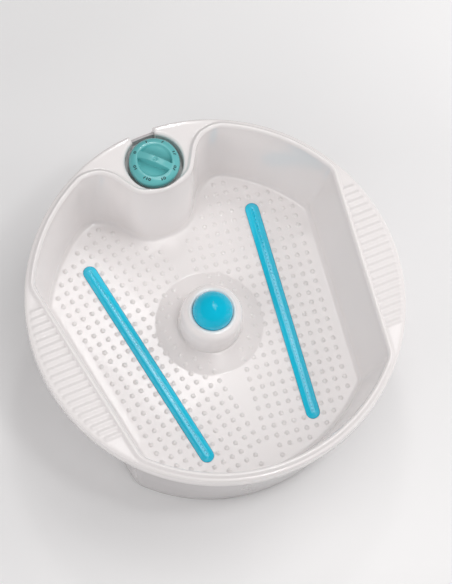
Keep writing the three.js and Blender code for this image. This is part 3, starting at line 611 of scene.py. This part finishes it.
def rim_loop(plan):
    """Indices of the deck's points on the rim, in order round it."""
    flat_middle = RIM_RADIUS * math.cos(math.pi / RIM_SEGMENTS)
    on_rim = np.where(np.linalg.norm(plan, axis=1) > flat_middle - ON_LINE)[0]
    return on_rim[np.argsort(np.arctan2(plan[on_rim, 1], plan[on_rim, 0]))]


def wall_ring(share, z, outwards=0.0):
    points = FLOOR_LINE + (MOUTH_LINE - FLOOR_LINE) * share
    return flat_ring(offset(points, outwards) if outwards else points, z)


def wall_share(z):
    return (z - FLOOR_Z) / (MOUTH_EDGE_Z - FLOOR_Z)


def bump_spots():
    """Centres of the massage bumps, on both sides."""
    across = np.array([math.cos(TILT), -math.sin(TILT)])
    along = np.array([math.sin(TILT), math.cos(TILT)])
    steps = np.arange(-30, 31)
    grid = BUMP_START + (steps[:, None, None] * across + steps[None, :, None] * along) * BUMP_PITCH
    spots = grid.reshape(-1, 2)
    room, _ = nearest(spots, FLOOR_LINE)
    fits = inside(spots, FLOOR_LINE) & (room > FLOOR_FILLET + BUMP_TO_WALL)
    fits &= segment_distance(spots, STRIP_FRONT, STRIP_BACK) > POCKET_RADIUS + BUMP_TO_POCKET
    bare, growth = BARE_MIDDLE
    fits &= spots[:, 0] > bare + growth * spots[:, 1]
    fits &= np.linalg.norm(spots, axis=1) > CONE_TOP + BUMP_TO_CONE_TOP
    spots = spots[fits]
    return np.vstack([spots, spots * [-1, 1]])


def floor_height(plan, spots):
    """Height of the basin's floor: cone, bumps and the strips' pockets."""
    radius = np.linalg.norm(plan, axis=1)
    slope = np.clip((CONE_FOOT - radius) / (CONE_FOOT - CONE_TOP), 0, 1)
    z = FLOOR_Z + CONE_RISE * slope
    for block in np.array_split(np.arange(len(plan)), 40):
        near = np.linalg.norm(plan[block, None] - spots[None], axis=2).min(axis=1)
        z[block] += BUMP_HEIGHT * np.clip(1 - (near / BUMP_RADIUS) ** 2, 0, 1) ** BUMP_POWER
    for mirror in BOTH_SIDES:
        near = segment_distance(plan, STRIP_FRONT * mirror, STRIP_BACK * mirror)
        z = np.where(near < POCKET_RADIUS - 0.08, POCKET_Z, z)
    return z


def lay_out_floor(edge, spots):
    """The floor's triangles in plan."""
    sheet = Relief()
    sheet.line(edge)

    def clear(plan):
        return np.linalg.norm(plan[:, None] - spots[None], axis=2).min(axis=1) > BUMP_KEEP_OUT

    for spot in spots:
        for radius in BUMP_RINGS:
            sheet.line(circle(*spot, radius, 14 if radius > 1 else 7))
        sheet.points.append(Vector(spot))
    for radius in CONE_GUIDES:
        sheet.line(circle(0, 0, radius, 96), keep=clear)
    for mirror in BOTH_SIDES:
        for radius in (POCKET_RADIUS + 0.6, POCKET_RADIUS, POCKET_RADIUS - 0.16):
            sheet.line(capsule(STRIP_FRONT * mirror, STRIP_BACK * mirror, radius, 14, 40))
    return sheet.triangles(lambda middle: inside(middle, edge))


def add_deck_and_skirt(shell):
    plan, faces = lay_out_deck()
    shell.sheet(plan, deck_height(plan), faces)
    under, under_z = deck_underside(plan)
    shell.sheet(under, under_z, faces[:, ::-1])

    loop = rim_loop(plan)
    top = np.column_stack([plan[loop], deck_height(plan[loop])])
    inner_top = np.column_stack([under[loop], under_z[loop]])
    unit = top[:, :2] / np.linalg.norm(top[:, :2], axis=1)[:, None]
    start_z = SKIRT_BOTTOM_Z + LIP_RISE
    rings = [top]
    for share in (0.5, 1):
        rings.append(np.column_stack([top[:, :2], top[:, 2] + (start_z - top[:, 2]) * share]))
    for radius, rise in SKIRT_LIP:
        rings.append(np.column_stack([unit * radius, np.full(len(unit), SKIRT_BOTTOM_Z + rise)]))
    rings.append(inner_top)
    shell.rings(rings)


def add_wall_and_floor(shell):
    foot = offset(FLOOR_LINE, -FLOOR_FILLET)
    end_z = FLOOR_Z + FLOOR_FILLET
    end = wall_ring(wall_share(end_z), end_z)
    corner = flat_ring(FLOOR_LINE, FLOOR_Z)
    start = flat_ring(foot, FLOOR_Z)
    wall = [(1 - t) ** 2 * start + 2 * t * (1 - t) * corner + t**2 * end for t in np.linspace(0, 1, 8)]
    wall += [wall_ring(wall_share(z), z) for z in np.linspace(end_z, MOUTH_EDGE_Z, 9)[1:]]
    shell.rings(wall)

    spots = bump_spots()
    plan, faces = lay_out_floor(foot, spots)
    shell.sheet(plan, floor_height(plan, spots), faces)


def add_underside(shell):
    mouth_under, mouth_under_z = deck_underside(MOUTH_LINE)
    outer = [np.column_stack([mouth_under, mouth_under_z])]
    for z in OUTER_WALL_LEVELS:
        ring = wall_ring(wall_share(z), z, WALL)
        ring[:, 2] = underside_height(ring[:, :2], ring[:, 2])
        outer.append(ring)
    base = offset(FLOOR_LINE, WALL - 1)
    outer.append(flat_ring(base, FLOOR_Z - WALL))
    shell.rings(outer)
    bottom = Relief()
    bottom.line(base)
    plan, faces = bottom.triangles(lambda middle: inside(middle, base))
    shell.sheet(plan, np.full(len(plan), FLOOR_Z - WALL), faces)


def make_tub():
    shell = Shell()
    add_deck_and_skirt(shell)
    add_wall_and_floor(shell)
    add_underside(shell)
    tub = shell.piece("tub_shell", "base", WHITE, smooth_angle=48)
    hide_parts("tub")


# ------------------------------------------------------------------ massage head and ball
def make_head():
    head = Shell()
    outside = smooth_through([(35.5, 6.12), (34.9, 6.8), (34.6, 9), (34.3, 20), (33.8, 30), (32.4, 37.5),
                              (29.9, 42.2), (26.6, 44.9), (23.9, 45.3), (22.0, 44.3)],
                             (-1, 0), (-0.6, -0.8), 72)
    inside_face = rounded([(22.0, 44.3, 0), (22.3, 43, 0.4), (26.4, 41.2, 1.5), (30.6, 36, 3),
                           (32, 20, 4), (33.2, 6.12, 0), (35.5, 6.12, 0)], 6)
    profile = [*outside, *inside_face[1:]]
    turned(head, [(r, z + FLOOR_Z) for r, z in profile], segments=144)
    piece = head.piece("massage_head_shell", "base", WHITE)
    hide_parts("massage_head")

    ball = Shell()
    x, y, z = BALL_CENTRE
    seam = [(BALL_RADIUS * math.cos(a), z + BALL_RADIUS * math.sin(a))
            for a in np.linspace(-math.pi / 2, math.pi / 2, 61)]
    turned(ball, seam, (x, y), 96)
    piece = ball.piece("massage_ball_smooth", "ball", CYAN_BALL)
    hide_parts("massage_ball")


# ------------------------------------------------------------------ bubble strips
def strip_height(plan, start, end, holes):
    """Height of a strip's top, with its channel and air holes."""
    depth = STRIP_RADIUS - segment_distance(plan, start, end)
    rise = STRIP_TOP_Z - FLOOR_Z - STRIP_EDGE_RISE
    z = FLOOR_Z + STRIP_EDGE_RISE + rise * quarter(depth / STRIP_RADIUS) ** 1.8
    z = z - CHANNEL_DEPTH * soft_step((depth - STRIP_RADIUS + CHANNEL_HALF_WIDTH) / 0.4)
    near = np.linalg.norm(plan[:, None] - holes[None], axis=2).min(axis=1)
    return np.where(near < HOLE_RADIUS - 0.05, z - HOLE_DEPTH, z)


def make_strip(side, name):
    mirror = np.array([side, 1])
    start, end = STRIP_FRONT * mirror, STRIP_BACK * mirror
    length = np.linalg.norm(end - start)
    count = int(length // HOLE_PITCH) + 1
    spare = (length - (count - 1) * HOLE_PITCH) / 2
    holes = np.array([start + (end - start) * (spare + k * HOLE_PITCH) / length for k in range(count)])
    sheet = Relief()
    edge = capsule(start, end, STRIP_RADIUS, 16, 60)
    sheet.line(edge)
    for inset in STRIP_INSETS:
        sheet.line(capsule(start, end, STRIP_RADIUS - inset, 16, 60))
    for hole in holes:
        sheet.line(circle(*hole, HOLE_RADIUS, 10))
        sheet.line(circle(*hole, HOLE_RADIUS - 0.1, 10))
    plan, faces = sheet.triangles(lambda middle: inside(middle, edge))
    shell = Shell()
    shell.sheet(plan, strip_height(plan, start, end, holes), faces)
    rim = np.column_stack([edge, strip_height(edge, start, end, holes)])
    shell.rings([rim, flat_ring(edge, STRIP_FOOT_Z)])
    base = Relief()
    base.line(edge)
    plan, faces = base.triangles(lambda middle: inside(middle, edge))
    shell.sheet(plan, np.full(len(plan), STRIP_FOOT_Z), faces)
    piece = shell.piece(f"bubble_strip_{name}_fine", "base", CYAN_STRIP)
    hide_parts(f"bubble_strip_{name}")


# ------------------------------------------------------------------ knob
RING_INNER = 19.4
SHOULDER_Z = KNOB_TOP_Z - 10.5  # where the ring's rounded edge meets the knob's side
KNOB_EDGE_INSETS = (0.02, 0.07, 0.15, 0.3, 0.6, 1.1, 1.8, 2.8, 4, 5.4, 6.8, 7.4, 7.9)
KNOB_FACE_RINGS = (19, 18.6, 18.2, 17.7, 17.1, 16.5, 15.6, 14.4, 13, 11.5, 10, 8, 6, 4.6)
KNOB_DIMPLE_RINGS = (2.7, 2.4, 2.1, 1.8, 1.2, 0.9, 0.6, 0.3)
KNOB_BAR_GUIDES = (3.1, 3.4, 3.7, 4.0, 4.3, 4.6, 4.9, 5.6, 6.8)  # distances from the bar's middle line
KNOB_UNDERSIDE = [(27, 1), (26.9, 0.4), (26.5, 0), (24.8, 0), (24.4, 0.4), (24.4, 4), (8, 5.2), (8, 0),
                  (3.3, 0), (3.3, 11.2), (1e-4, 11.2)]  # radius, and height above the knob's foot


def knob_height(plan):
    """Height of the knob's top, with its ring, two scoops, bar and middle dimple."""
    radius = np.linalg.norm(plan, axis=1)
    along = plan @ np.array([math.cos(KNOB_BAR_ANGLE), math.sin(KNOB_BAR_ANGLE)])
    across = np.abs(plan @ np.array([-math.sin(KNOB_BAR_ANGLE), math.cos(KNOB_BAR_ANGLE)]))
    slope = np.clip((radius - RING_INNER) / (KNOB_RADIUS - RING_INNER), 0, 1)
    ring = SHOULDER_Z + 7.2 * np.sqrt(1 - slope**2.4)
    bowl = (1.9 + 3.6 * soft_step((17 - across) / 13)) * soft_step((RING_INNER - 0.4 - radius) / 2.4)
    bowl = bowl * soft_step((across - 3.5) / 1.3)
    bar = (3.2 * np.clip(1 - (along / RING_INNER) ** 2, 0, 1)) * (1 - soft_step((across - 3.1) / 1.4))
    z = ring - bowl + bar * (radius < RING_INNER)
    return z - 0.8 * (1 - soft_step((radius - 1.9) / 0.7)) + 0.7 * (1 - soft_step((radius - 0.6) / 0.7))


def lay_out_knob(edge):
    """The knob top's triangles in plan."""
    sheet = Relief()
    sheet.line(edge)
    for inset in KNOB_EDGE_INSETS:
        sheet.line(circle(0, 0, KNOB_RADIUS - inset, 144))
    for radius in KNOB_FACE_RINGS:
        sheet.line(circle(0, 0, radius, 144 if radius > 18 else 96))
    for radius in KNOB_DIMPLE_RINGS:
        sheet.line(circle(0, 0, radius, 24))
    turn = np.array([[math.cos(KNOB_BAR_ANGLE), math.sin(KNOB_BAR_ANGLE)],
                     [-math.sin(KNOB_BAR_ANGLE), math.cos(KNOB_BAR_ANGLE)]])
    for across in KNOB_BAR_GUIDES:
        for side in (-1, 1):
            reach = math.sqrt(RING_INNER**2 - across**2)
            ends = np.array([[x, side * across] for x in np.linspace(-reach, reach, 30)])
            sheet.line(ends @ turn, closed=False)
    return sheet.triangles(lambda middle: np.linalg.norm(middle, axis=1) < KNOB_RADIUS)


def make_knob():
    edge = circle(0, 0, KNOB_RADIUS, 144)
    plan, faces = lay_out_knob(edge)
    shell = Shell()
    shell.sheet(plan, knob_height(plan), faces)
    unit = edge / KNOB_RADIUS
    rings = [np.column_stack([edge, knob_height(edge)])]
    rings += [flat_ring(unit * radius, KNOB_FOOT_Z + rise) for radius, rise in KNOB_UNDERSIDE]
    shell.rings(rings)
    shell.verts = [(x + KNOB_X, y + KNOB_Y, z) for x, y, z in shell.verts]
    piece = shell.piece("control_knob_fine", "knob", TEAL, smooth_angle=42)
    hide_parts("control_knob")


MARK_RADIUS = 22.6
MARK_RISE = 0.12
MARK_ROOT = 0.1  # how far a mark reaches into the ring
MARK_SPACING = 2.9
FIRST_SETTING = 135  # degrees, and the next ones follow clockwise
SETTING_STEP = 45


def stroke(shell, line, width, turn):
    """Adds a raised printed stroke on the knob's ring. line holds (sideways, outwards) offsets from
    the mark's middle, and turn is the angle of the mark round the knob."""
    line = np.array(line, float)
    direction = np.gradient(line, axis=0)
    direction /= np.linalg.norm(direction, axis=1)[:, None]
    side = np.column_stack([-direction[:, 1], direction[:, 0]]) * width / 2
    layers = []
    corners = ((-MARK_ROOT, side), (MARK_RISE, side), (MARK_RISE, -side), (-MARK_ROOT, -side))
    for rise, edge in corners:
        flat = line + edge
        radius = MARK_RADIUS + flat[:, 1]
        angle = turn - flat[:, 0] / MARK_RADIUS
        plan = np.column_stack([radius * np.cos(angle), radius * np.sin(angle)])
        layers.append(np.column_stack([plan + WELL_CENTRE, knob_height(plan) + rise]))
    count = len(line)
    faces = [(k * count + i, k * count + i + 1, ((k + 1) % 4) * count + i + 1, ((k + 1) % 4) * count + i)
             for k in range(4) for i in range(count - 1)]
    faces += [tuple(k * count for k in range(4)), tuple(k * count + count - 1 for k in (3, 2, 1, 0))]
    shell.add(np.vstack(layers), faces)


def ring_mark(shell, x, radius, turn):
    line = [(x + radius * math.cos(a), radius * math.sin(a)) for a in np.linspace(0, 2 * math.pi, 17)]
    stroke(shell, line, 0.8, turn)


def bar_mark(shell, x, turn):
    stroke(shell, [(x, -1.4), (x, -0.5), (x, 0.5), (x, 1.4)], 1.15, turn)


def wave_mark(shell, x, turn):
    line = [(x + 0.55 * math.sin(t * math.pi), t * 1.4) for t in np.linspace(-1, 1, 9)]
    stroke(shell, line, 0.85, turn)


def make_knob_marks():
    """Generic marks at the eight settings: a ring for bubbles, a bar for massage, a wave for heat."""
    marks = Shell()
    settings = ["o", "|", "~", "|~", "o~", "o|", "o|~", "|o"]
    for k, signs in enumerate(settings):
        turn = math.radians(FIRST_SETTING - SETTING_STEP * k)
        for i, sign in enumerate(signs):
            x = (i - (len(signs) - 1) / 2) * MARK_SPACING
            if sign == "o":
                ring_mark(marks, x, 1.1, turn)
            elif sign == "|":
                bar_mark(marks, x, turn)
            else:
                wave_mark(marks, x, turn)
    piece = marks.piece("knob_marks", "knob", MARK, weld=1e-7)


# ------------------------------------------------------------------ housing, feet and screws
def make_housing():
    top, foot = outline(HOUSING_TOP), outline(HOUSING_FOOT)
    low_z, high_z = node_box("lower_housing")[0][2], node_box("lower_housing")[1][2]

    def ring(z, outwards):
        share = (z - low_z) / (high_z - low_z)
        return flat_ring(offset(foot + (top - foot) * share, outwards), z)

    levels = [(high_z, -HOUSING_WALL), (high_z, 0)]
    levels += [(z, 0) for z in np.linspace(high_z, low_z + 9, 8)[1:]]
    levels += [(low_z + 8.6, -0.5), (low_z + 7.8, -0.5), (low_z + 7.4, 0)]
    levels += [(low_z + 1.5, 0), (low_z + 0.5, -0.3), (low_z, -1.2)]
    levels += [(low_z, -HOUSING_WALL), (high_z, -HOUSING_WALL)]
    shell = Shell()
    shell.rings([ring(z, outwards) for z, outwards in levels])
    piece = shell.piece("lower_housing_shell", "base", SHADED_HOUSING_WHITE)
    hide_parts("lower_housing")


def make_feet():
    for name in ("foot_front_left", "foot_front_right", "foot_rear_left", "foot_rear_right"):
        low, high = node_box(name)
        radius = (high[0] - low[0]) / 2
        centre = (low[:2] + high[:2]) / 2
        profile = [(0, high[2], 0), (radius, high[2], 0.4), (radius, 1.2, 0.8), (radius - 1.6, 0, 0.5)]
        for groove in (8.5, 5.5, 2.5):
            profile += [(groove + 0.5, 0, 0.2), (groove, 0.7, 0.2), (groove - 0.5, 0, 0.2)]
        profile.append((0, 0, 0))
        foot = Shell()
        turned(foot, rounded(profile, 3), centre, 48)
        piece = foot.piece(f"{name}_pad", "base", RUBBER)
        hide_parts(name)


# ------------------------------------------------------------------ camera, light and floor
CAMERA_AZIMUTH = math.radians(-37.94)
CAMERA_ELEVATION = math.radians(70.98)
CAMERA_ROLL = math.radians(14.63)
CAMERA_DISTANCE = 2576.7
CAMERA_SHIFT = (9.85, 3.98)  # of its axis from the middle of the deck, right and up
FOCAL_LENGTH = 151.97  # on a 36 mm sensor along the picture's longer side


def camera_axes():
    back = np.array([math.sin(CAMERA_AZIMUTH) * math.cos(CAMERA_ELEVATION),
                     -math.cos(CAMERA_AZIMUTH) * math.cos(CAMERA_ELEVATION), math.sin(CAMERA_ELEVATION)])
    right = np.cross([0, 0, 1], back)
    right /= np.linalg.norm(right)
    up = np.cross(back, right)
    turned_right = math.cos(CAMERA_ROLL) * right + math.sin(CAMERA_ROLL) * up
    turned_up = math.cos(CAMERA_ROLL) * up - math.sin(CAMERA_ROLL) * right
    return turned_right, turned_up, back


def make_camera():
    right, up, back = camera_axes()
    data = bpy.data.cameras.new("camera")
    data.lens = FOCAL_LENGTH
    data.sensor_width = 36
    data.clip_end = 20
    camera = bpy.data.objects.new("camera", data)
    aim = right * CAMERA_SHIFT[0] + up * CAMERA_SHIFT[1] + np.array([0, 0, DECK_Z])
    place = (aim + back * CAMERA_DISTANCE) * MM
    rows = [(*row, w) for row, w in zip(np.column_stack([right, up, back]), place)]
    camera.matrix_world = Matrix([*rows, (0, 0, 0, 1)])
    bpy.context.scene.collection.objects.link(camera)
    bpy.context.scene.camera = camera


def softbox(name, place, aim, size, radiance, tint=(1, 1, 1), turn=0.0, mirrored=True):
    """A rectangular area light, its place, aim and size in metres, turned about its own axis.
    One that isn't mirrored lights the object but leaves no reflection."""
    data = bpy.data.lights.new(name, "AREA")
    data.shape = "RECTANGLE"
    data.size, data.size_y = size
    data.energy = radiance * math.pi * size[0] * size[1]
    data.color = tint
    light = bpy.data.objects.new(name, data)
    light.visible_glossy = mirrored
    direction = Vector(aim) - Vector(place)
    facing = direction.to_track_quat("-Z", "Y").to_matrix() @ Matrix.Rotation(turn, 3, "Z")
    light.matrix_world = Matrix.Translation(place) @ facing.to_4x4()
    bpy.context.scene.collection.objects.link(light)


def make_floor():
    floor_mesh = bpy.data.meshes.new("studio_floor")
    reach = 6.0  # metres
    floor_mesh.from_pydata([(-reach, -reach, 0), (reach, -reach, 0), (reach, reach, 0), (-reach, reach, 0)],
                           [], [(0, 1, 2, 3)])
    material, nodes, links, shader = new_material("studio_floor")
    clouds = noise(nodes, links, 2.0)
    tint = ramp(nodes, links, clouds.outputs["Fac"], (0.90, 0.90, 0.905), (0.93, 0.93, 0.93))
    links.new(tint.outputs["Color"], shader.inputs["Base Color"])
    shader.inputs["Roughness"].default_value = 0.8
    shader.inputs["Specular IOR Level"].default_value = 0.1
    floor_mesh.materials.append(material)
    floor = bpy.data.objects.new("studio_floor", floor_mesh)
    bpy.context.scene.collection.objects.link(floor)


def make_lights():
    """A dim world and seven softboxes, in metres."""
    world = bpy.data.worlds.new("studio")
    world.use_nodes = True
    background = world.node_tree.nodes["Background"]
    background.inputs["Color"].default_value = (1.0, 0.985, 0.985, 1)
    background.inputs["Strength"].default_value = 0.2
    bpy.context.scene.world = world
    middle = (0, 0, 0.1)
    ball = (0, 0, 0.113)
    softbox("overhead", (0.35, 0.22, 1.82), (0.35, 0.22, 0), (0.80, 0.66), 2.3, (1, 0.99, 0.985))
    softbox("window", (0.195, 0.50, 1.80), (0.195, 0.50, 0), (0.13, 0.38), 5.0, turn=math.radians(23))
    softbox("left_light", (-1.0, -0.1, 0.8), middle, (1.1, 0.7), 2.4, (1, 0.98, 0.975), mirrored=False)
    softbox("right_light", (1.0, 0.0, 0.8), middle, (1.1, 0.7), 2.9, (1, 0.98, 0.975), mirrored=False)
    softbox("front_light", (0.1, -1.3, 0.9), middle, (1.3, 0.7), 1.6, (1, 0.98, 0.975), mirrored=False)
    softbox("far_spark", (0.40, 1.05, 1.9), ball, (0.20, 0.20), 22)
    softbox("near_spark", (0.235, -0.377, 1.9), ball, (0.20, 0.20), 22)
    bpy.context.scene.view_settings.view_transform = "Standard"


dress_cad_nodes()
make_camera()
make_floor()
make_lights()
make_tub()
make_head()
make_strip(-1, "left")
make_strip(1, "right")
make_knob()
make_knob_marks()
make_housing()
make_feet()
